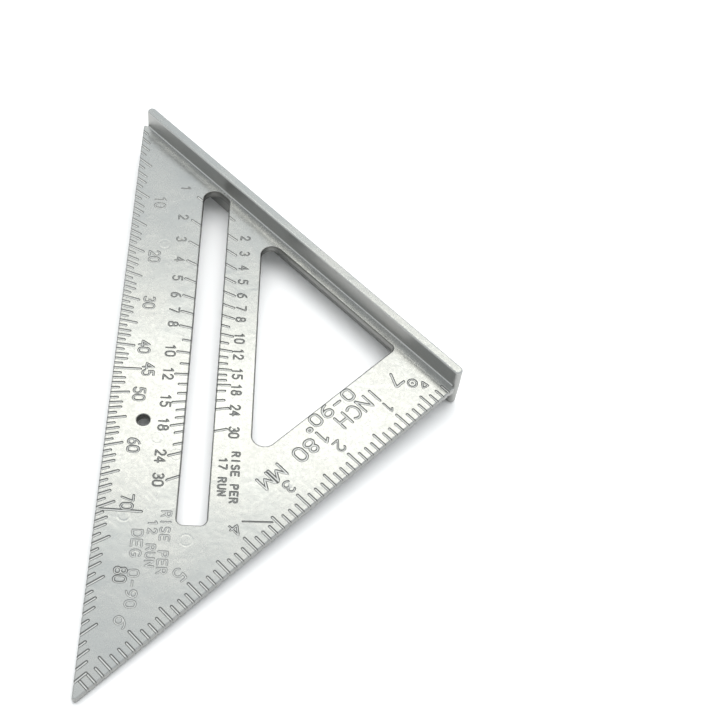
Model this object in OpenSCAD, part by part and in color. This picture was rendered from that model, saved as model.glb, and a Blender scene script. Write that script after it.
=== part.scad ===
// Rafter square: a flat triangular blade with a T-shaped fence along one leg.
// X runs along the fence from the pivot corner, Y along the graduated leg,
// and Z towards the front face. Z = 0 is the middle of the blade's thickness.

/* [Blade] */
// Where the hypotenuse would cross the fence line and the leg line
reach = 181.5; // [150:0.5:310]
// Thickness of the blade
blade_t = 3.2; // [2.4:0.1:5]
// Radius that blunts the two sharp corners of the blade
tip_r = 1.06; // [0.6:0.02:2]

/* [Fence] */
// Height of the fence, measured across both of its lips
fence_h = 20; // [14:0.5:30]
// Thickness of the fence
fence_t = 4; // [3:0.1:6]
// Length of the fence
fence_l = 180; // [148:0.5:308]
// Radius on the long edges of the fence
fence_edge_r = 0.7; // [0.3:0.05:1.2]
// Radius of the cast fillets at the fence's root, and reach of the root
root_r = 0.4; // [0.3:0.05:1.2]
// Size of the notch that marks the pivot between the leg edge and the fence
pivot_notch = 1.4; // [0.5:0.1:1.8]

/* [Window] */
// Width of the blade left between the leg edge and the window
window_leg_gap = 28; // [20:0.5:36]
// Width of the blade left between the fence and the window
window_fence_gap = 3.8; // [2.8:0.1:8]
// Where the window's long side would cross the fence line
window_reach = 106.8; // [90:0.2:112]
// Radius of the window's two sharp corners
window_r = 4.4; // [2:0.1:6]
// Radius of the window's square corner
window_square_r = 2; // [1:0.1:4]

/* [Slot] */
// Where the slot's inner side would cross the fence line
slot_inner = 127; // [122:0.2:129]
// Where the slot's outer side would cross the fence line
slot_outer = 141.6; // [136:0.2:146]
// Width of the blade left between the fence and the slot
slot_fence_gap = 1.9; // [1.6:0.1:6]
// How far the slot reaches past the middle of the hypotenuse
slot_past_middle = 63; // [40:0.2:64]
// Radius of the slot's sharp corner at the fence
slot_top_r = 4.2; // [1.5:0.1:4.2]
// Radius of the slot's other corners
slot_r = 2.4; // [1:0.1:3]

/* [Hang hole] */
// Diameter of the hole
hole_d = 4.4; // [3:0.1:7]
// Angle of the hole's centre from the fence line, seen from the pivot
hole_angle = 55.4; // [50:0.1:62]
// Distance of the hole's centre from the pivot
hole_out = 117.1; // [112:0.1:122]
// Depth of the countersink on each face
hole_sink = 0.25; // [0.1:0.05:0.5]

/* [Hidden] */
$fn = 64;
cut = 1;
metal = [0.64, 0.65, 0.64];
hole_x = hole_out * cos(hole_angle);
hole_y = hole_out * sin(hole_angle);

// Direction from p to q, one unit long
function toward(p, q) = (q - p) / norm(q - p);
// The corner i of a loop of points, its two neighbours, and half of the angle there
function before(pts, i) = pts[(i + len(pts) - 1) % len(pts)];
function after(pts, i) = pts[(i + 1) % len(pts)];
function half_angle(pts, i) =
    acos(toward(pts[i], before(pts, i)) * toward(pts[i], after(pts, i))) / 2;
function bisector(pts, i) =
    toward([0, 0], toward(pts[i], before(pts, i)) + toward(pts[i], after(pts, i)));

// A convex outline whose corners are rounded to the radii given, with true arcs
module rounded(pts, radii) {
    polygon([
        for (i = [0 : len(pts) - 1])
            let (back = radii[i] / tan(half_angle(pts, i)))
            for (other = [before(pts, i), after(pts, i)])
                pts[i] + back * toward(pts[i], other)
    ]);
    for (i = [0 : len(pts) - 1])
        translate(pts[i] + radii[i] / sin(half_angle(pts, i)) * bisector(pts, i))
            circle(r = radii[i]);
}

// The blade's outline: its straight foot meets the fence's root face to face
module blade_outline() {
    intersection() {
        union() {
            rounded([[0, 0], [reach, 0], [0, reach]], [root_r, tip_r, tip_r]);
            square(reach / 4);
        }
        translate([0, root_r])
            square(reach);
    }
}

// The triangular window between the leg scale and the slot
module window_outline() {
    far = window_reach - window_fence_gap;
    high = window_reach - window_leg_gap;
    rounded(
        [[window_leg_gap, window_fence_gap], [far, window_fence_gap], [window_leg_gap, high]],
        [window_square_r, window_r, window_r]);
}

// The scribing slot, parallel to the hypotenuse, with its upper end parallel to the fence
module slot_outline() {
    low = slot_past_middle * sqrt(2);
    rounded(
        [
            [slot_inner - slot_fence_gap, slot_fence_gap],
            [slot_outer - slot_fence_gap, slot_fence_gap],
            [(slot_outer - low) / 2, (slot_outer + low) / 2],
            [(slot_inner - low) / 2, (slot_inner + low) / 2]
        ],
        [slot_r, slot_top_r, slot_r, slot_r]);
}

// The hang hole with a light countersink on both faces
module hang_hole() {
    translate([hole_x, hole_y, 0]) {
        cylinder(h = blade_t + 2 * cut, d = hole_d, center = true);
        for (side = [0, 1])
            mirror([0, 0, side])
                translate([0, 0, blade_t / 2 - hole_sink])
                    cylinder(h = 2 * hole_sink, r1 = hole_d / 2, r2 = hole_d / 2 + 2 * hole_sink);
    }
}

// The flat triangular blade
module blade() {
    color(metal)
        difference() {
            translate([0, 0, -blade_t / 2])
                linear_extrude(blade_t)
                    difference() {
                        blade_outline();
                        window_outline();
                        slot_outline();
                    }
            hang_hole();
        }
}

// The fence's bar: rounded long edges, full-round ends
module fence_bar() {
    intersection() {
        translate([0, -fence_t / 2, 0])
            rotate([90, 0, 90])
                linear_extrude(fence_l)
                    rounded(
                        [for (c = [[-1, -1], [1, -1], [1, 1], [-1, 1]])
                            [c[0] * fence_t / 2, c[1] * fence_h / 2]],
                        [for (i = [0 : 3]) fence_edge_r]);
        translate([0, -fence_t / 2, -fence_h])
            linear_extrude(2 * fence_h) {
                translate([fence_t / 2, -fence_t / 2])
                    square([fence_l - fence_t, fence_t]);
                for (x = [fence_t / 2, fence_l - fence_t / 2])
                    translate([x, 0])
                        circle(d = fence_t);
            }
    }
}

// The root, as thick as the blade, with a fillet above and below it
module fence_root() {
    translate([pivot_notch, 0, 0])
        rotate([90, 0, 90])
            linear_extrude(fence_l - 2 * pivot_notch)
                difference() {
                    translate([-fence_t / 2, -blade_t / 2 - root_r])
                        square([fence_t / 2 + root_r, blade_t + 2 * root_r]);
                    for (side = [-1, 1])
                        translate([root_r, side * (blade_t / 2 + root_r)])
                            circle(r = root_r);
                }
}

// The T-shaped fence
module fence() {
    color(metal) {
        fence_bar();
        fence_root();
    }
}

blade();
fence();
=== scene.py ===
"""A cast aluminium rafter square: the engraved blade, the T-shaped fence, a plain floor and soft light."""

import math

import bpy
import numpy as np
from mathutils import Matrix, Vector, geometry


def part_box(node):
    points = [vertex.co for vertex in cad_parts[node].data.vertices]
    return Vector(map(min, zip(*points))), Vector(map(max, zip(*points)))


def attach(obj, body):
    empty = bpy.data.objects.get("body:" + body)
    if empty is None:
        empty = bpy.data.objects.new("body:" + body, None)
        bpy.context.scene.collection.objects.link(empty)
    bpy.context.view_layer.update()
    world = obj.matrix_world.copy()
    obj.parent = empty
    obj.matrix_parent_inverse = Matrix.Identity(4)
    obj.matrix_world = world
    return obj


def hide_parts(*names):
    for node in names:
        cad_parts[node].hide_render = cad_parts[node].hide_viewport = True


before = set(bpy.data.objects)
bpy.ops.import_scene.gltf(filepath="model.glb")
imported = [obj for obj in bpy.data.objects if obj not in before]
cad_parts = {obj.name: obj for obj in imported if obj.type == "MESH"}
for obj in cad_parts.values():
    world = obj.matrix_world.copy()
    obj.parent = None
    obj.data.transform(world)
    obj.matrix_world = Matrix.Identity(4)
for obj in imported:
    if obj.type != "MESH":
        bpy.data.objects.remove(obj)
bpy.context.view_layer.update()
MM = 0.001

# ---------------- camera
CAMERA_AT = Vector((-0.1444, 0.2550, 0.4141))
CAMERA_AIM = Vector((0.03376, 0.01712, 0.0))
CAMERA_RIGHT = Vector((-0.7058, -0.7015, 0.0992))

back_axis = (CAMERA_AT - CAMERA_AIM).normalized()
up_axis = back_axis.cross(CAMERA_RIGHT).normalized()
right_axis = up_axis.cross(back_axis)
camera = bpy.data.objects.new("camera", bpy.data.cameras.new("camera"))
camera.data.lens = 66.64
camera.data.sensor_width = 36.0
camera.matrix_world = (
    Matrix.Translation(CAMERA_AT) @ Matrix((right_axis, up_axis, back_axis)).transposed().to_4x4())
bpy.context.scene.collection.objects.link(camera)
bpy.context.scene.camera = camera

# ---------------- sizes, in millimetres, as in the CAD
blade_low, blade_high = (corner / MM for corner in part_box("blade"))
fence_low, fence_high = (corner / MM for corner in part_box("fence"))
HALF_T = blade_high.z
FOOT_Y = blade_low.y
FENCE_L = fence_high.x
FENCE_HALF_H = fence_high.z
FENCE_T = -fence_low.y
REACH = 181.5
TIP_R = 1.06
TIP_OUT = TIP_R / math.tan(math.radians(22.5))
WINDOW = ([(28.0, 3.8), (103.0, 3.8), (28.0, 78.8)], [2.0, 4.4, 4.4])
SLOT_INNER, SLOT_OUTER = 127.0, 141.6
SLOT_PAST = 63 * math.sqrt(2)
SLOT = ([(SLOT_INNER - 1.9, 1.9), (SLOT_OUTER - 1.9, 1.9),
         ((SLOT_OUTER - SLOT_PAST) / 2, (SLOT_OUTER + SLOT_PAST) / 2),
         ((SLOT_INNER - SLOT_PAST) / 2, (SLOT_INNER + SLOT_PAST) / 2)], [2.4, 4.2, 2.4, 2.4])
HOLE_ANGLE, HOLE_OUT, HOLE_R = math.radians(55.4), 117.1, 2.2
HOLE = (HOLE_OUT * math.cos(HOLE_ANGLE), HOLE_OUT * math.sin(HOLE_ANGLE))
PIVOT = (1.75, 0.12)

# The face's edge lies this far inside the parting line, and its lip is rounded like this
DRAFT = 0.12
LIP_AT = [0.0, 0.06, 0.18, 0.36, 0.55]
LIP_DROP = [0.26, 0.13, 0.045, 0.008, 0.0]
# Painted shade on the lip, darkest at its edge
LIP_SHADE = [1.0, 1.0, 0.9, 0.6, 0.0]
# The faces rise gently toward the root
SWELL, SWELL_TO = 0.30, 4.2
ROOT_LEAN = math.atan(2 * SWELL / (SWELL_TO - FOOT_Y))
# Each kind of groove: distances from the middle of its stroke, and the depth and the dirt and painted
# shade there
GROOVES = {
    "tick": ([0.20, 0.27, 0.52, 0.60], [0.27, 0.23, 0.04, 0.0], [0, 1, 1, 0]),
    "title": ([0.22, 0.29, 0.52, 0.60], [0.27, 0.23, 0.04, 0.0], [0, 1, 1, 0]),
    "label": ([0.12, 0.19, 0.40, 0.48], [0.27, 0.23, 0.04, 0.0], [0, 1, 1, 0]),
    "small": ([0.05, 0.11, 0.31, 0.39], [0.27, 0.22, 0.04, 0.0], [0.3, 1, 1, 0]),
    # Shallower grooves with lighter paint: a painted highlight for the light that their walls catch in the
    # dim far part of the blade
    "shallow_sheen": ([0.12, 0.19, 0.36, 0.44], [0.20, 0.17, 0.03, 0.0], [0, 0.65, 0.65, 0]),
    "faint": ([0.1, 0.35, 0.6], [0.02, 0.01, 0.0], [0, 0, 0]),
}
# A groove that runs over an edge pushes it in by this much, fading over this distance
NICK = 0.14
NICK_FADE = 0.9
DEEPEST = GROOVES["tick"][1][0]
# The spacing of points along a stroke, and the rows that carry the rise toward the root
STROKE_STEP = 0.45
SWELL_ROWS = (1.0, 1.7, 2.5, 3.3, SWELL_TO)
# Toward the fence's far end the grooves' dirt and painted shade are made lighter: a painted highlight for
# the light that their walls catch there
FAR_SHEEN_X, FAR_SHEEN = [85, 120], [1.0, 0.7]
# Painted shade on the lip along the outline and on the openings' walls, and the part of the face's dirt
# and painted shade that runs down the top of the outline's wall
OUTLINE_LIP_SHADE = 0.3
OPENING_WALL_SHADE = 0.6
TOP_WALL_DIRT_AND_SHADE = 0.35

# ---------------- outlines
def unit(v):
    v = np.asarray(v, float)
    return v / math.hypot(*v)


def arc(centre, rx, ry, start, end, steps):
    """Points of an elliptic arc, its angles in degrees."""
    return [(centre[0] + rx * math.cos(a), centre[1] + ry * math.sin(a))
            for a in np.radians(np.linspace(start, end, steps + 1))]


def rounded_loop(corners, radii, grow, degrees_per_step=7.5):
    """Counter-clockwise outline with rounded corners, moved outward by grow."""
    points, count = [], len(corners)
    for i, corner in enumerate(corners):
        to_last = unit(np.subtract(corners[i - 1], corner))
        to_next = unit(np.subtract(corners[(i + 1) % count], corner))
        half = math.acos(to_last @ to_next) / 2
        centre = np.add(corner, radii[i] / math.sin(half) * unit(to_last + to_next))
        start = math.degrees(math.atan2(to_last[0], -to_last[1]))
        sweep = 180 - math.degrees(2 * half)
        steps = max(3, math.ceil(sweep / degrees_per_step))
        r = radii[i] + grow
        points += arc(centre, r, r, start, start + sweep, steps)
    return points


def outline_loop(inset):
    """The blade's outline moved inward by inset, except at its foot, where it meets the fence."""
    r = TIP_R - inset
    far, high = (REACH - TIP_OUT, TIP_R), (TIP_R, REACH - TIP_OUT)
    foot_sine = (FOOT_Y - TIP_R) / r
    far_arc = arc(far, r, r, math.degrees(math.asin(max(foot_sine, -0.9))), 45, 8)
    if foot_sine < -0.9:
        far_arc.insert(0, (far_arc[0][0], FOOT_Y))
    return [(inset, FOOT_Y)] + far_arc + arc(high, r, r, 45, 180, 14)


def rings(inset):
    """The four edges of a face, moved into the metal by inset from the parting line."""
    return [outline_loop(inset), rounded_loop(*WINDOW, inset), rounded_loop(*SLOT, inset),
            arc(HOLE, HOLE_R + inset, HOLE_R + inset, 0, 352.5, 47)]


# ---------------- graduations, the same on both faces
def on_ray(start, angle, total):
    """Point on the ray from start at that angle, in radians, where x + y is total."""
    t = (total - start[0] - start[1]) / (math.cos(angle) + math.sin(angle))
    return np.array([start[0] + t * math.cos(angle), start[1] + t * math.sin(angle)])


def common_slope(n):
    if n <= 18:
        return (n - 0.16 - 0.045 * n + 0.0053 * n * n + 0.15 * math.exp(-((n - 2) / 2) ** 2)) / 12
    return {20: 20.06, 22: 22.28, 24: 24.36, 30: 30.6}[n] / 12


def hip_slope(n):
    if n <= 18:
        return (n + math.sin(math.pi * n / 24) - 0.28 * math.exp(-((n - 4.6) / 2.2) ** 2)) / 17
    return (n - 0.12) / 17


RISES = list(range(1, 19)) + [20, 22, 24, 30]
LABELLED = [2, 3, 4, 5, 6, 7, 8, 10, 12, 15, 18, 24, 30]


def graduations():
    """Each tick as (inner end, a point beyond the edge that it cuts)."""
    ticks = []
    for eighth in range(1, 56):
        y = 25.4 * eighth / 8
        long = 6.5 if eighth % 8 == 0 else 6.0 if eighth % 4 == 0 else 4.0
        ticks.append(((long, y), (-1.0, y)))
    for degree in range(1, 90):
        off_five = min(degree % 5, 5 - degree % 5)
        long = {0: 6.8, 1: 3.0, 2: 4.7}[off_five]
        long = 10.2 if degree == 45 else 5.2 if degree == 89 else long
        angle = math.radians(degree)
        edge = on_ray(PIVOT, angle, REACH)
        ray = np.array([math.cos(angle), math.sin(angle)])
        ticks.append((edge - long * ray, edge + 1.2 * ray))
    for slope, total, sign in ((common_slope, SLOT_OUTER, 1), (hip_slope, SLOT_INNER, -1)):
        for n in RISES:
            angle = math.atan(slope(n))
            edge = on_ray((0, 0), angle, total)
            ray = sign * np.array([math.cos(angle), math.sin(angle)])
            long = 5.0 if n in LABELLED else 3.3
            ticks.append((edge + long * ray, edge - 1.2 * ray))
    return ticks


# ---------------- a plain single-stroke alphabet, one unit high
def glyph_table():
    bowl_6 = arc((0.3, 0.3), 0.28, 0.3, 180, -180, 20)
    six = [arc((0.56, 0.3), 0.54, 0.7, 95, 180, 8) + bowl_6[1:]]
    nine = [[(0.6 - x, 1 - y) for x, y in stroke] for stroke in six]
    return {
        "0": [arc((0.3, 0.7), 0.28, 0.3, 0, 180, 10) + arc((0.3, 0.3), 0.28, 0.3, 180, 360, 10)
              + [(0.58, 0.7)]],
        "1": [[(0.1, 0.78), (0.33, 1.0), (0.33, 0.0)]],
        "2": [arc((0.3, 0.71), 0.27, 0.29, 170, -30, 11) + [(0.02, 0.0), (0.6, 0.0)]],
        "3": [arc((0.28, 0.76), 0.25, 0.24, 150, -90, 11) + arc((0.28, 0.26), 0.3, 0.26, 90, -150, 12)],
        "4": [[(0.45, 0.0), (0.45, 1.0), (0.0, 0.3), (0.62, 0.3)]],
        "5": [[(0.54, 1.0), (0.1, 1.0), (0.06, 0.56)] + arc((0.28, 0.32), 0.3, 0.32, 125, -150, 14)],
        "6": six,
        "7": [[(0.0, 1.0), (0.6, 1.0), (0.2, 0.0)]],
        "8": [arc((0.3, 0.76), 0.23, 0.24, -90, 270, 16), arc((0.3, 0.26), 0.29, 0.26, 90, 450, 18)],
        "9": nine,
        "-": [[(0.08, 0.48), (0.52, 0.48)]],
        "D": [[(0.0, 0.0), (0.0, 1.0), (0.22, 1.0)] + arc((0.22, 0.5), 0.38, 0.5, 75, -75, 12)
              + [(0.22, 0.0), (0.0, 0.0)]],
        "E": [[(0.56, 1.0), (0.0, 1.0), (0.0, 0.0), (0.56, 0.0)], [(0.0, 0.52), (0.46, 0.52)]],
        "G": [arc((0.32, 0.5), 0.32, 0.5, 48, 330, 18) + [(0.6, 0.45), (0.34, 0.45)]],
        "R": [[(0.0, 0.0), (0.0, 1.0), (0.3, 1.0)] + arc((0.3, 0.75), 0.27, 0.25, 75, -75, 8)
              + [(0.3, 0.5), (0.0, 0.5)], [(0.3, 0.5), (0.58, 0.0)]],
        "I": [[(0.3, 0.0), (0.3, 1.0)]],
        "S": [arc((0.3, 0.755), 0.27, 0.245, 35, 265, 11) + arc((0.3, 0.255), 0.29, 0.255, 85, -145, 12)],
        "P": [[(0.0, 0.0), (0.0, 1.0), (0.3, 1.0)] + arc((0.3, 0.74), 0.27, 0.26, 75, -75, 8)
              + [(0.3, 0.48), (0.0, 0.48)]],
        "U": [[(0.0, 1.0)] + arc((0.3, 0.3), 0.3, 0.3, 180, 360, 12) + [(0.6, 1.0)]],
        "N": [[(0.0, 0.0), (0.0, 1.0), (0.58, 0.0), (0.58, 1.0)]],
        "C": [arc((0.32, 0.5), 0.32, 0.5, 50, 310, 18)],
        "H": [[(0.0, 0.0), (0.0, 1.0)], [(0.58, 0.0), (0.58, 1.0)], [(0.0, 0.5), (0.58, 0.5)]],
        "M": [[(0.0, 0.0), (0.0, 1.0), (0.32, 0.3), (0.64, 1.0), (0.64, 0.0)]],
        "o": [arc((0.16, 0.84), 0.15, 0.15, 0, 360, 12)],
        " ": [],
    }


GLYPHS = glyph_table()
ALONG_LEG = ((0.0, 1.0), (-1.0, 0.0))
ALONG_EDGE = ((-math.sqrt(0.5), math.sqrt(0.5)), (-math.sqrt(0.5), -math.sqrt(0.5)))


def lettering(text, centre, axes, height, pitch, width, face):
    """Strokes of a line of text centred on a point.

    face is 1 for the front and -1 for the back, where the text reads from behind.
    """
    reading, up = np.multiply(axes[0], face), np.array(axes[1])
    start = -(len(text) - 1) * pitch / 2
    strokes = []
    for i, letter in enumerate(text):
        for stroke in GLYPHS[letter]:
            strokes.append([tuple(np.array(centre) + (start + i * pitch + (x - 0.3) * width) * reading
                                  + (y - 0.5) * height * up) for x, y in stroke])
    return strokes


# How far out each degree number stands, where it isn't at the usual distance
DEGREES_OUT = 166.4
DEGREE_OUT = {45: 163.0, 80: 166.0}
# How far numbers are shifted along the hypotenuse from their own ray
DEGREE_SHIFT = {10: -1.2, 50: 1.0, 60: 2.0, 70: 2.1, 80: 2.8}
COMMON_OUT = 152.4
COMMON_SHIFT = {2: 1.3, 3: 1.1, 4: 1.2, 5: 1.3, 6: 1.0, 7: 0.5,
                15: -0.8, 18: -1.0, 24: -0.6, 30: -1.3}
HIP_OUT = 116.3
# Two scribed lines, and the middles and radius of the round ejector marks
SCRIBES = [((38.0, 121.0), (50.6, 133.0)), ((11.7, 97.7), (4.5, 90.2))]
EJECTORS = [(57.2, 97.7), (47.3, 97.3), (40.9, 126.3), (19.3, 116.9), (23.2, 33.8), (124.5, 37.0)]
EJECTOR_R = 2.2


def labels(face):
    """The strokes of each kind of lettering."""
    marks = {"title": [], "label": [], "small": [], "shallow_sheen": []}
    for inch in range(1, 7):
        # The far inch numbers get the shallower, lighter grooves, a painted highlight
        kind = "label" if inch < 5 else "shallow_sheen"
        marks[kind] += lettering(str(inch), (11.0, 25.4 * inch), ALONG_LEG, 4.6, 4, 5.0, face)
    for degree in (10, 20, 30, 40, 45, 50, 60, 70, 80):
        centre = on_ray(PIVOT, math.radians(degree), DEGREE_OUT.get(degree, DEGREES_OUT))
        centre = centre + DEGREE_SHIFT.get(degree, 0.0) * np.array(ALONG_EDGE[0])
        marks["label"] += lettering(str(degree), centre, ALONG_EDGE, 4.1, 3.2, 4.1, face)
    for n in [1] + LABELLED:
        centre = on_ray((0, 0), math.atan(common_slope(n)), COMMON_OUT)
        centre = centre + COMMON_SHIFT.get(n, 0.0) * np.array(ALONG_EDGE[0])
        marks["small"] += lettering(str(n), centre, ALONG_EDGE, 3.6, 2.9, 3.7, face)
    for n in LABELLED:
        x, y = on_ray((0, 0), math.atan(hip_slope(n)), SLOT_INNER)
        lean = y - x + (0 if n > 18 else 2.5)
        centre = ((HIP_OUT - lean) / 2, (HIP_OUT + lean) / 2)
        marks["small"] += lettering(str(n), centre, ALONG_EDGE, 3.5, 2.6, 3.3, face)
    marks["title"] += lettering("7 INCH 180 MM", (17.9, 47.5), ALONG_LEG, 5.6, 5.5, 6.8, face)
    marks["title"] += lettering("0-90o", (24.8, 44.0), ALONG_LEG, 4.9, 5.6, 6.8, face)
    marks["shallow_sheen"] += lettering("DEG 0-90", (23.1, 136.7), ALONG_EDGE, 3.5, 3.75, 4.4, face)
    marks["shallow_sheen"] += lettering("RISE PER", (23.8, 122.9), ALONG_EDGE, 3.2, 3.1, 3.4, face)
    marks["shallow_sheen"] += lettering("12 RUN", (26.4, 126.4), ALONG_EDGE, 2.9, 3.1, 3.3, face)
    marks["small"] += lettering("RISE PER", (26.6, 87.9), ALONG_EDGE, 2.7, 2.7, 2.9, face)
    marks["small"] += lettering("17 RUN", (29.7, 91.0), ALONG_EDGE, 2.7, 2.7, 2.9, face)
    # The pivot's sign: a triangle that points to it, and a ring with a dot
    marks["label"].append([(7.6, 6.8), (10.4, 7.3), (8.2, 9.2), (7.6, 6.8)])
    marks["label"].append([tuple(p) for p in arc((12.4, 10.6), 1.7, 1.7, 0, 360, 20)])
    marks["label"].append([(12.3, 10.5), (12.5, 10.7)])
    marks["small"].append(list(SCRIBES[1]))
    marks["faint"] = [arc(c, EJECTOR_R, EJECTOR_R, 0, 360, 28) for c in EJECTORS]
    return marks




# ---------------- distances
def segments_of(strokes):
    return np.array([(a, b) for s in strokes for a, b in zip(s[:-1], s[1:])], float).reshape(-1, 2, 2)


def distance(points, segments, reach=2.0, bins=36):
    """Distance from each point to the nearest segment, exact below reach."""
    found = np.full(len(points), 99.0)
    span = REACH / bins
    low, high = segments[:, :, 0].min(1) - reach, segments[:, :, 0].max(1) + reach
    column = np.clip((points[:, 0] / span).astype(int), 0, bins - 1)
    for k in range(bins):
        chosen = np.nonzero(column == k)[0]
        near = segments[(low < (k + 1) * span) & (high > k * span)]
        if not len(chosen) or not len(near):
            continue
        start, along = near[:, 0], near[:, 1] - near[:, 0]
        size = np.maximum((along ** 2).sum(1), 1e-12)
        for part in np.array_split(chosen, max(1, len(chosen) * len(near) // 2000000)):
            gap = points[part, None, :] - start[None]
            t = np.clip((gap * along[None]).sum(2) / size[None], 0, 1)
            away = gap - t[..., None] * along[None]
            found[part] = np.sqrt((away ** 2).sum(2).min(1))
    return found


# ---------------- a face, as a constrained triangulation
class Plan:
    """The points and the lines that a face's triangulation keeps."""

    def __init__(self):
        self.points, self.edges = [], []

    def line(self, points, closed=False):
        first = len(self.points)
        self.points += [tuple(p) for p in points]
        last = len(self.points) - 1
        self.edges += [(i, i + 1) for i in range(first, last)]
        if closed:
            self.edges.append((last, first))


def resample(stroke, step):
    """The stroke with points no further than step apart."""
    points = [stroke[0]]
    for a, b in zip(stroke[:-1], stroke[1:]):
        if math.dist(a, b) < 1e-6:
            continue
        count = max(1, math.ceil(math.dist(a, b) / step))
        points += [tuple(np.add(a, np.multiply(np.subtract(b, a), k / count)))
                   for k in range(1, count + 1)]
    return np.array(points)


def stroke_rows(plan, strokes, levels, step, segments):
    """Rows of points on both sides of each stroke, kept where no other stroke is nearer."""
    for stroke in strokes:
        line = resample(stroke, step)
        ring = math.dist(line[0], line[-1]) < 1e-6
        step_ahead = np.diff(line, axis=0)
        normal = np.stack([-step_ahead[:, 1], step_ahead[:, 0]], 1)
        normal /= np.linalg.norm(normal, axis=1)[:, None]
        first, last = (normal[-1], normal[0]) if ring else (normal[0], normal[-1])
        at_point = np.vstack([first, normal]) + np.vstack([normal, last])
        at_point /= np.maximum(np.linalg.norm(at_point, axis=1), 0.5)[:, None]
        for level in levels:
            rows = [line + level * at_point, line - level * at_point]
            if not ring:
                facing = math.degrees(math.atan2(normal[0][1], normal[0][0]))
                rows.append(np.array(arc(line[0], level, level, facing, facing + 180, 5)))
                facing = math.degrees(math.atan2(-normal[-1][1], -normal[-1][0]))
                rows.append(np.array(arc(line[-1], level, level, facing, facing + 180, 5)))
            for row in rows:
                kept = distance(row, segments) > level - 0.012
                for run in np.split(np.arange(len(row)), np.nonzero(~kept)[0]):
                    run = run[kept[run]]
                    if len(run) > 1:
                        plan.line(row[run])


def crossing(inner, outer, loops):
    """Where the line from inner to outer first meets an edge of the loops."""
    best, found = 2.0, None
    way = np.subtract(outer, inner)
    for loop in loops:
        a = np.array(loop)
        b = np.roll(a, -1, axis=0)
        side = b - a
        bottom = way[0] * side[:, 1] - way[1] * side[:, 0]
        bottom[np.abs(bottom) < 1e-12] = 1e-12
        gap = a - inner
        t = (gap[:, 0] * side[:, 1] - gap[:, 1] * side[:, 0]) / bottom
        u = (gap[:, 0] * way[1] - gap[:, 1] * way[0]) / bottom
        good = (t > 0) & (t < best) & (u >= 0) & (u <= 1)
        if good.any():
            best = t[good].min()
            found = inner + best * way
    return found


def tick_rows(plan, ticks, levels, loops):
    """Straight rows along each tick, from its round inner end to the edge that it cuts."""
    for inner, outer in ticks:
        inner, outer = np.array(inner, float), np.array(outer, float)
        ray = unit(outer - inner)
        side = np.array([-ray[1], ray[0]])
        facing = math.degrees(math.atan2(side[1], side[0]))
        for level in levels:
            for sign in (1, -1):
                start = inner + sign * level * side
                plan.line([start, crossing(start, outer + sign * level * side, loops)])
            plan.line(arc(inner, level, level, facing, facing + 180, 6))


def inside(points, loop):
    """Which points are inside a loop."""
    odd = np.zeros(len(points), bool)
    x, y = points[:, 0], points[:, 1]
    for (x1, y1), (x2, y2) in zip(loop, loop[1:] + loop[:1]):
        if y1 != y2:
            crossed = (y1 > y) != (y2 > y)
            odd ^= crossed & (x < (x2 - x1) * (y - y1) / (y2 - y1) + x1)
    return odd


def face_plan(face):
    """One face as a flat mesh.

    Returns its points (x, y), and at each the groove's depth, the dirt and painted shade, the
    nearness to a groove's floor, the lip, the distance to an edge and whether that edge is an
    opening's; then its triangles.
    """
    loops = rings(DRAFT)
    ticks = graduations() + SCRIBES[:1]
    marks = labels(face)
    plan = Plan()
    for loop in loops:
        plan.line(loop, closed=True)
    for offset in LIP_AT[1:]:
        for i, loop in enumerate(rings(DRAFT + offset)):
            plan.line(loop[1:] + loop[:1] if i == 0 else loop, closed=i > 0)
    lines = {kind: segments_of(strokes) for kind, strokes in marks.items()}
    tick_rows(plan, ticks, GROOVES["tick"][0], loops)
    for kind, strokes in marks.items():
        stroke_rows(plan, strokes, GROOVES[kind][0], STROKE_STEP, lines[kind])
    lines["tick"] = segments_of([[a, b] for a, b in ticks])

    for y in SWELL_ROWS:
        plan.line([(-1.0, y), (REACH, y)])
    points, _, triangles, *_ = geometry.delaunay_2d_cdt(
        [Vector(p) for p in plan.points], plan.edges, [], 0, 1e-4)
    points = np.array([tuple(p) for p in points])
    triangles = np.array(triangles)
    middle = points[triangles].mean(1)
    keep = inside(middle, loops[0])
    for loop in loops[1:]:
        keep &= ~inside(middle, loop)
    triangles = triangles[keep]
    used = np.unique(triangles)
    renumber = np.zeros(len(points), int)
    renumber[used] = np.arange(len(used))
    points, triangles = points[used], renumber[triangles]

    groove, dirt_and_shade, share = np.zeros((3, len(points)))
    for kind, segments in lines.items():
        at, depths, groove_dirt_and_shade = GROOVES[kind]
        away = distance(points, segments)
        here = np.interp(away, at, depths)
        share = np.where((here > groove) & (kind != "faint"), here / depths[0], share)
        # Dirt and painted shade darken each groove's walls
        dirt_and_shade = np.where((here > groove) | (away == 0), np.interp(away, at, groove_dirt_and_shade), dirt_and_shade)
        groove = np.maximum(groove, here)
    # Painted highlight: the grooves are made lighter toward the fence's far end
    dirt_and_shade *= np.interp(points[:, 0], FAR_SHEEN_X, FAR_SHEEN)
    rim = distance(points, segments_of([loop + loop[:1] for loop in loops[1:]]))
    edge = np.minimum(rim, distance(points, segments_of([loops[0][1:] + loops[0][:1]])))
    lip = np.interp(edge, LIP_AT, LIP_DROP)
    # Painted shade on the edges' lips, weaker along the outline
    dirt_and_shade = np.maximum(dirt_and_shade, np.interp(edge, LIP_AT, LIP_SHADE)
                       * np.where(rim < 1, 1.0, OUTLINE_LIP_SHADE))
    return points, groove, dirt_and_shade, share, lip, edge, rim < edge + 1e-6, triangles


def boundary(triangles):
    """Directed edges that only one triangle has, with the metal on their left."""
    sides = np.vstack([triangles[:, [0, 1]], triangles[:, [1, 2]], triangles[:, [2, 0]]])
    known = {tuple(side) for side in sides.tolist()}
    return [side for side in known if (side[1], side[0]) not in known]


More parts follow.
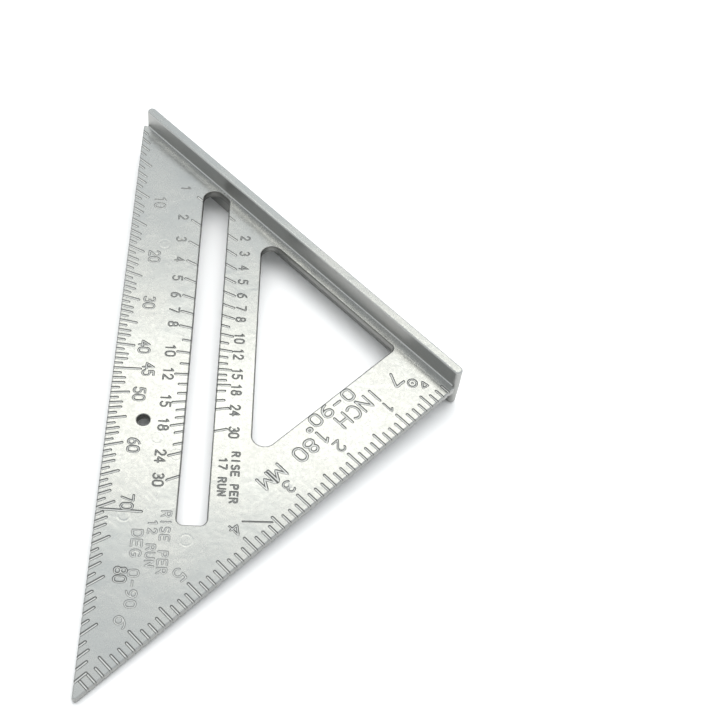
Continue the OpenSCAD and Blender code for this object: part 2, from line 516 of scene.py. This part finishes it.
def counter_clockwise(points, triangles):
    a, b, c = (points[triangles[:, i]] for i in range(3))
    area = (b[:, 0] - a[:, 0]) * (c[:, 1] - a[:, 1]) - (b[:, 1] - a[:, 1]) * (c[:, 0] - a[:, 0])
    triangles = triangles.copy()
    triangles[area < 0] = triangles[area < 0][:, ::-1]
    return triangles


def edge_normals(points, sides):
    """The outward direction at each point of the boundary."""
    out = {}
    for a, b in sides:
        ahead = points[b] - points[a]
        ahead = ahead / max(np.hypot(*ahead), 1e-9)
        for k in (a, b):
            out[k] = out.get(k, np.zeros(2)) + (ahead[1], -ahead[0])
    for k, v in out.items():
        if points[k, 1] < FOOT_Y + 1e-4:
            v = np.array([0.0 if abs(v[0]) < 0.3 else math.copysign(1, v[0]), 0.0])
        out[k] = v / max(np.hypot(*v), 1.0 if not v.any() else 1e-9)
    return out


def vertex_normals(points, faces):
    """Normals averaged by the faces' areas, so wide flat faces stay flat."""
    total = np.zeros_like(points)
    for corners in (3, 4):
        group = np.array([f for f in faces if len(f) == corners])
        if not len(group):
            continue
        across = points[group[:, 2]] - points[group[:, 0]]
        other = points[group[:, -1]] - points[group[:, 1]] if corners == 4 else (
            points[group[:, 1]] - points[group[:, 0]])
        area = np.cross(across, other) if corners == 4 else np.cross(other, across)
        for i in range(corners):
            np.add.at(total, group[:, i], area)
    return total / np.maximum(np.linalg.norm(total, axis=1), 1e-12)[:, None]


# Height in the blade's thickness and distance outward from the face's edge,
# at the parting ridge and beside it
WALL = [(0.62, 0.055), (0.17, 0.075), (0.09, DRAFT), (-0.09, DRAFT), (-0.17, 0.075), (-0.62, 0.055)]


def build_blade():
    points, faces, shade_and_dirt, floors, flat = [], [], [], [], []
    sides, plans, back_ring = [], (), ()
    for face in (1, -1):
        plan, groove, dirt_and_shade, share, lip, edge, opening, triangles = face_plan(face)
        triangles = counter_clockwise(plan, triangles)
        borders = boundary(triangles)
        original = plan.copy()
        # Grooves that run over an edge nick it
        ring_out = edge_normals(plan, borders)
        ring_index = np.array(sorted(ring_out))
        cut = np.nonzero((edge < NICK_FADE) & (groove > 0) & (plan[:, 1] > FOOT_Y + 1))[0]
        for i in cut:
            nearest = ring_index[np.argmin(((plan[ring_index] - plan[i]) ** 2).sum(1))]
            push = NICK * groove[i] / DEEPEST * (1 - edge[i] / NICK_FADE)
            original_out = ring_out[nearest]
            plan[i] = original[i] - push * original_out
        first = len(points)
        swell = SWELL * np.clip((SWELL_TO - plan[:, 1]) / (SWELL_TO - FOOT_Y), 0, 1) ** 2
        height = face * (HALF_T + swell - groove - lip)
        points += [(x, y, z) for (x, y), z in zip(plan, height)]
        shade_and_dirt += list(dirt_and_shade)
        floors += list(share)
        flat += [face if d < 1e-4 else 0 for d in groove + lip + swell]
        faces += [tuple(first + t[::face]) for t in triangles]
        if face == -1:
            back_ring = original[ring_index], first + ring_index
        if face == 1:
            sides = borders
            plans = (plan, original, ring_out, np.where(opening, OPENING_WALL_SHADE, 0.0),
                     TOP_WALL_DIRT_AND_SHADE * dirt_and_shade)
    plan, original, ring_out, wall_shade, top_dirt_and_shade = plans
    columns = {}
    for i, out in ring_out.items():
        gap = ((back_ring[0] - original[i]) ** 2).sum(1)
        below = int(back_ring[1][np.argmin(gap)])
        column = [i]
        for z, offset in WALL:
            column.append(len(points))
            points.append((*(plan[i] + offset * out), z))
            # Painted shade on the openings' walls; the top row also takes part of the face's dirt and
            # painted shade
            shade_and_dirt.append(max(wall_shade[i], top_dirt_and_shade[i] if z == WALL[0][0] else 0.0))
            floors.append(0.0)
            flat.append(0)
        columns[i] = column + [below]
    for a, b in sides:
        for upper in range(len(WALL) + 1):
            faces.append((columns[a][upper], columns[a][upper + 1],
                          columns[b][upper + 1], columns[b][upper]))
    points = np.array(points)
    normals = vertex_normals(points, faces)
    flat = np.array(flat)
    normals[flat != 0] = [0, 0, 1]
    normals[:, 2] = np.where(flat < 0, -1, normals[:, 2])
    foot = (points[:, 1] < FOOT_Y + 1e-3) & (abs(points[:, 2]) > HALF_T)
    normals[foot] = [0, math.sin(ROOT_LEAN), 1]
    normals[foot, 2] = math.cos(ROOT_LEAN) * np.sign(points[foot, 2])
    return points, faces, normals, {"groove": shade_and_dirt, "floor": floors}


def mesh_object(name, points, faces, normals=None, layers=None):
    mesh = bpy.data.meshes.new(name)
    mesh.from_pydata((np.array(points) * MM).tolist(), [], [tuple(int(i) for i in f) for f in faces])
    mesh.shade_smooth()
    for layer_name, values in (layers or {}).items():
        layer = mesh.attributes.new(layer_name, "FLOAT", "POINT")
        layer.data.foreach_set("value", np.array(values, np.float32))
    if normals is not None:
        mesh.normals_split_custom_set_from_vertices(normals.tolist())
    made = bpy.data.objects.new(name, mesh)
    bpy.context.scene.collection.objects.link(made)
    return made


# ---------------- the fence
END_R = FENCE_T / 2
EDGE_R = 0.7
# The root stops this far short of both ends
PIVOT_NOTCH = 1.4
# Half the height of the parting ridge, its step, and the draft's taper at the bar's edge
RIDGE_HALF = 0.12
RIDGE_STEP = 0.035
BAR_TAPER = 0.09


def fence_inset(z):
    """How far the bar's sides lie inside the CAD's, with draft on both sides of the parting line."""
    if abs(z) < RIDGE_HALF:
        return 0.0
    return RIDGE_STEP + BAR_TAPER * abs(z) / FENCE_HALF_H


def bar_ring(inset, z):
    r = END_R - inset
    return [(x, y, z) for x, y in arc((END_R, -END_R), r, r, 90, 270, 20)
            + arc((FENCE_L - END_R, -END_R), r, r, 270, 450, 20)]


def build_bar():
    side = FENCE_HALF_H - EDGE_R
    half = [(z, fence_inset(z)) for z in (0.1, 0.2, 2.0, 5.0, side)]
    half += [(side + EDGE_R * math.sin(a), fence_inset(side) + EDGE_R * (1 - math.cos(a)))
             for a in np.radians(np.linspace(11.25, 90, 8))]
    levels = [(-z, inset) for z, inset in reversed(half)] + half
    rows = [bar_ring(inset, z) for z, inset in levels]
    count = len(rows[0])
    faces = [(k * count + i, k * count + (i + 1) % count,
              (k + 1) * count + (i + 1) % count, (k + 1) * count + i)
             for k in range(len(rows) - 1) for i in range(count)]
    faces += [tuple(range(count))[::-1], tuple(range((len(rows) - 1) * count, len(rows) * count))]
    return [p for row in rows for p in row], faces


def build_root():
    """The root with its fillets, from inside the bar to the blade's foot."""
    start = -fence_inset(HALF_T + 1)
    r = (FOOT_Y - start) / (1 - math.sin(ROOT_LEAN))
    top = HALF_T + SWELL + r * math.cos(ROOT_LEAN)
    upper = [(y, z) for y, z in arc((start + r, top), r, r, 270 - math.degrees(ROOT_LEAN), 180, 12)]
    profile = [(y, -z) for y, z in reversed(upper)] + upper
    profile = [(-END_R, -top)] + profile + [(-END_R, top)]
    count = len(profile)
    points = [(x, y, z) for x in (PIVOT_NOTCH, FENCE_L - PIVOT_NOTCH) for y, z in profile]
    faces = [(i, (i + 1) % count, count + (i + 1) % count, count + i) for i in range(count)]
    faces = [f[::-1] for f in faces] + [tuple(range(count)), tuple(range(count, 2 * count))[::-1]]
    return points, faces


def evaluated(obj):
    """The object's mesh with its modifiers applied."""
    graph = bpy.context.evaluated_depsgraph_get()
    mesh = bpy.data.meshes.new_from_object(
        obj.evaluated_get(graph), preserve_all_data_layers=True, depsgraph=graph)
    obj.modifiers.clear()
    obj.data = mesh
    return mesh


def build_fence():
    bar = mesh_object("fence_cast", *build_bar())
    root = mesh_object("fence_root", *build_root())
    join = bar.modifiers.new("join", "BOOLEAN")
    join.operation, join.solver, join.object = "UNION", "EXACT", root
    mesh = evaluated(bar)
    bpy.data.objects.remove(root)
    mesh.shade_smooth()
    mesh.set_sharp_from_angle(angle=math.radians(40))
    even = bar.modifiers.new("even", "WEIGHTED_NORMAL")
    even.keep_sharp = True
    evaluated(bar)
    return bar


# ---------------- the metal
def add_node(tree, kind, inputs=None, **settings):
    node = tree.nodes.new(kind)
    for name, value in settings.items():
        setattr(node, name, value)
    for name, value in (inputs or {}).items():
        if isinstance(value, bpy.types.NodeSocket):
            tree.links.new(value, node.inputs[name])
        else:
            node.inputs[name].default_value = value
    return node


def noise(tree, place, per_mm, detail, roughness, low, high):
    """Noise of a given number of features per millimetre, stretched from low..high to 0..1."""
    made = add_node(tree, "ShaderNodeTexNoise", {
        "Vector": place, "Scale": per_mm, "Detail": detail, "Roughness": roughness})
    return add_node(tree, "ShaderNodeMapRange", {
        "Value": made.outputs["Fac"], "From Min": low, "From Max": high}).outputs["Result"]


def ranged(tree, value, low, high):
    return add_node(tree, "ShaderNodeMapRange", {
        "Value": value, "To Min": low, "To Max": high}).outputs["Result"]


def maths(tree, operation, a, b):
    return add_node(tree, "ShaderNodeMath", {0: a, 1: b}, operation=operation).outputs[0]


def tinted(tree, factor, a, b, blend="MIX"):
    return add_node(tree, "ShaderNodeMix", {"Factor": factor, 6: a, 7: b},
                    data_type="RGBA", blend_type=blend).outputs[2]


def cast_aluminium():
    material = bpy.data.materials.new("cast_aluminium")
    material.use_nodes = True
    tree = material.node_tree
    shader = tree.nodes["Principled BSDF"]
    shader.inputs["Metallic"].default_value = 1.0
    place = add_node(tree, "ShaderNodeMapping", {
        "Vector": add_node(tree, "ShaderNodeTexCoord").outputs["Object"],
        "Scale": (1 / MM, 1 / MM, 1 / MM)}).outputs["Vector"]
    grain = noise(tree, place, 0.85, 2.0, 0.55, 0.3, 0.7)
    peel = noise(tree, place, 0.28, 2.0, 0.5, 0.3, 0.7)
    cloud = noise(tree, place, 0.045, 3.0, 0.55, 0.3, 0.7)
    groove = add_node(tree, "ShaderNodeAttribute", attribute_name="groove").outputs["Fac"]
    bottom = add_node(tree, "ShaderNodeAttribute", attribute_name="floor").outputs["Fac"]

    facing = add_node(tree, "ShaderNodeSeparateXYZ", {
        "Vector": add_node(tree, "ShaderNodeTexCoord").outputs["Normal"]}).outputs["Z"]
    upright = maths(tree, "SUBTRACT", 1.0, maths(tree, "ABSOLUTE", facing, 0.0))

    metal = tinted(tree, cloud, (0.60, 0.615, 0.615, 1), (0.665, 0.665, 0.65, 1))
    metal = tinted(tree, ranged(tree, grain, 0.0, 0.2), metal, (0.47, 0.48, 0.48, 1))
    # Painted highlight: the grooves' floors are made lighter, for the light that their rougher floors
    # catch
    metal = tinted(tree, ranged(tree, bottom, 0.0, 0.9), metal, (0.86, 0.86, 0.85, 1))
    # The groove attribute: dirt and painted shade in the grooves, and painted shade on the lips and the
    # openings' walls
    metal = tinted(tree, ranged(tree, groove, 0.0, 0.8), metal, (0.065, 0.065, 0.06, 1))
    # Painted shade: upright faces, the blade's walls and the fence's sides and ends, are made darker
    metal = tinted(tree, ranged(tree, upright, 0.0, 0.6), metal, (0.205, 0.20, 0.185, 1))
    tree.links.new(metal, shader.inputs["Base Color"])

    rough = maths(tree, "ADD", ranged(tree, grain, 0.23, 0.28), ranged(tree, cloud, -0.02, 0.03))
    rough = maths(tree, "ADD", rough, ranged(tree, groove, 0.0, 0.1))
    rough = maths(tree, "ADD", rough, ranged(tree, bottom, 0.0, 0.22))
    rough = maths(tree, "ADD", rough, ranged(tree, upright, 0.0, 0.16))
    tree.links.new(rough, shader.inputs["Roughness"])

    flow = add_node(tree, "ShaderNodeTexNoise", {
        "Vector": place, "Scale": 0.09, "Detail": 1.5, "Distortion": 1.6}).outputs["Fac"]
    wavy = add_node(tree, "ShaderNodeBump", {
        "Height": flow, "Strength": 1.0, "Distance": 0.06 * MM}).outputs["Normal"]
    coarse = add_node(tree, "ShaderNodeBump", {
        "Height": peel, "Strength": 1.0, "Distance": 0.012 * MM, "Normal": wavy}).outputs["Normal"]
    fine = add_node(tree, "ShaderNodeBump", {
        "Height": grain, "Strength": 1.0, "Distance": 0.0025 * MM, "Normal": coarse})
    tree.links.new(fine.outputs["Normal"], shader.inputs["Normal"])
    return material


# ---------------- the pieces
aluminium = cast_aluminium()
blade = mesh_object("blade_engraved", *build_blade())
fence = build_fence()
for piece, node in ((blade, "blade"), (fence, "fence")):
    piece.data.materials.clear()
    piece.data.materials.append(aluminium)
    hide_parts(node)
    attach(piece, "root")

# ---------------- floor, light and surroundings
# The square rests on the fence's lower edge and on the lower corner of its tip
slope = math.atan((FENCE_HALF_H - HALF_T) / blade_high.y)
FLOOR_HALF = 2.5
floor_mesh = bpy.data.meshes.new("floor")
floor_mesh.from_pydata([(x, y, 0) for x, y in ((-1, -1), (1, -1), (1, 1), (-1, 1))], [], [(0, 1, 2, 3)])
floor = bpy.data.objects.new("floor", floor_mesh)
floor.scale = (FLOOR_HALF, FLOOR_HALF, 1)
floor.rotation_euler = (slope, 0, 0)
floor.location = (0.09, 0.0, (-FENCE_HALF_H - 0.05) * MM)
bpy.context.scene.collection.objects.link(floor)
paper = bpy.data.materials.new("paper")
paper.use_nodes = True
paper.node_tree.nodes["Principled BSDF"].inputs["Base Color"].default_value = (0.92, 0.92, 0.925, 1)
paper.node_tree.nodes["Principled BSDF"].inputs["Roughness"].default_value = 0.9
paper.node_tree.nodes["Principled BSDF"].inputs["Specular IOR Level"].default_value = 0.1
floor_mesh.materials.append(paper)


def softbox(name, toward, away, width, height, watts, colour, glossy=True):
    """A rectangular light, its width level, that faces the middle of the blade."""
    middle = Vector((0.05, 0.06, 0.0))
    way = Vector(toward).normalized()
    lamp = bpy.data.lights.new(name, "AREA")
    lamp.shape = "RECTANGLE"
    lamp.size, lamp.size_y, lamp.energy, lamp.color = width, height, watts, colour
    made = bpy.data.objects.new(name, lamp)
    level = Vector((0.0, 0.0, 1.0)).cross(way).normalized()
    made.matrix_world = (Matrix.Translation(middle + away * way)
                         @ Matrix((level, way.cross(level), way)).transposed().to_4x4())
    made.visible_glossy = glossy
    bpy.context.scene.collection.objects.link(made)
    return made


softbox("key", (0.365, -0.39, 0.845), 0.9, 0.50, 0.15, 0.46, (1.0, 0.965, 0.84))
softbox("fill", (0.25, -0.35, 0.9), 1.3, 2.0, 2.0, 25.0, (1.0, 1.0, 1.0), glossy=False)

world = bpy.data.worlds.new("studio")
world.use_nodes = True
bpy.context.scene.world = world
sky = world.node_tree
way = add_node(sky, "ShaderNodeSeparateXYZ", {
    "Vector": add_node(sky, "ShaderNodeTexCoord").outputs["Generated"]})
behind = add_node(sky, "ShaderNodeMapRange", {
    "Value": way.outputs["Y"], "From Min": -0.05, "From Max": 0.4},
    interpolation_type="SMOOTHSTEP").outputs["Result"]
tone = tinted(sky, behind, (0.74, 0.775, 0.785, 1), (0.72, 0.74, 0.74, 1))
sky.links.new(tone, sky.nodes["Background"].inputs["Color"])

bpy.context.scene.view_settings.view_transform = "Standard"
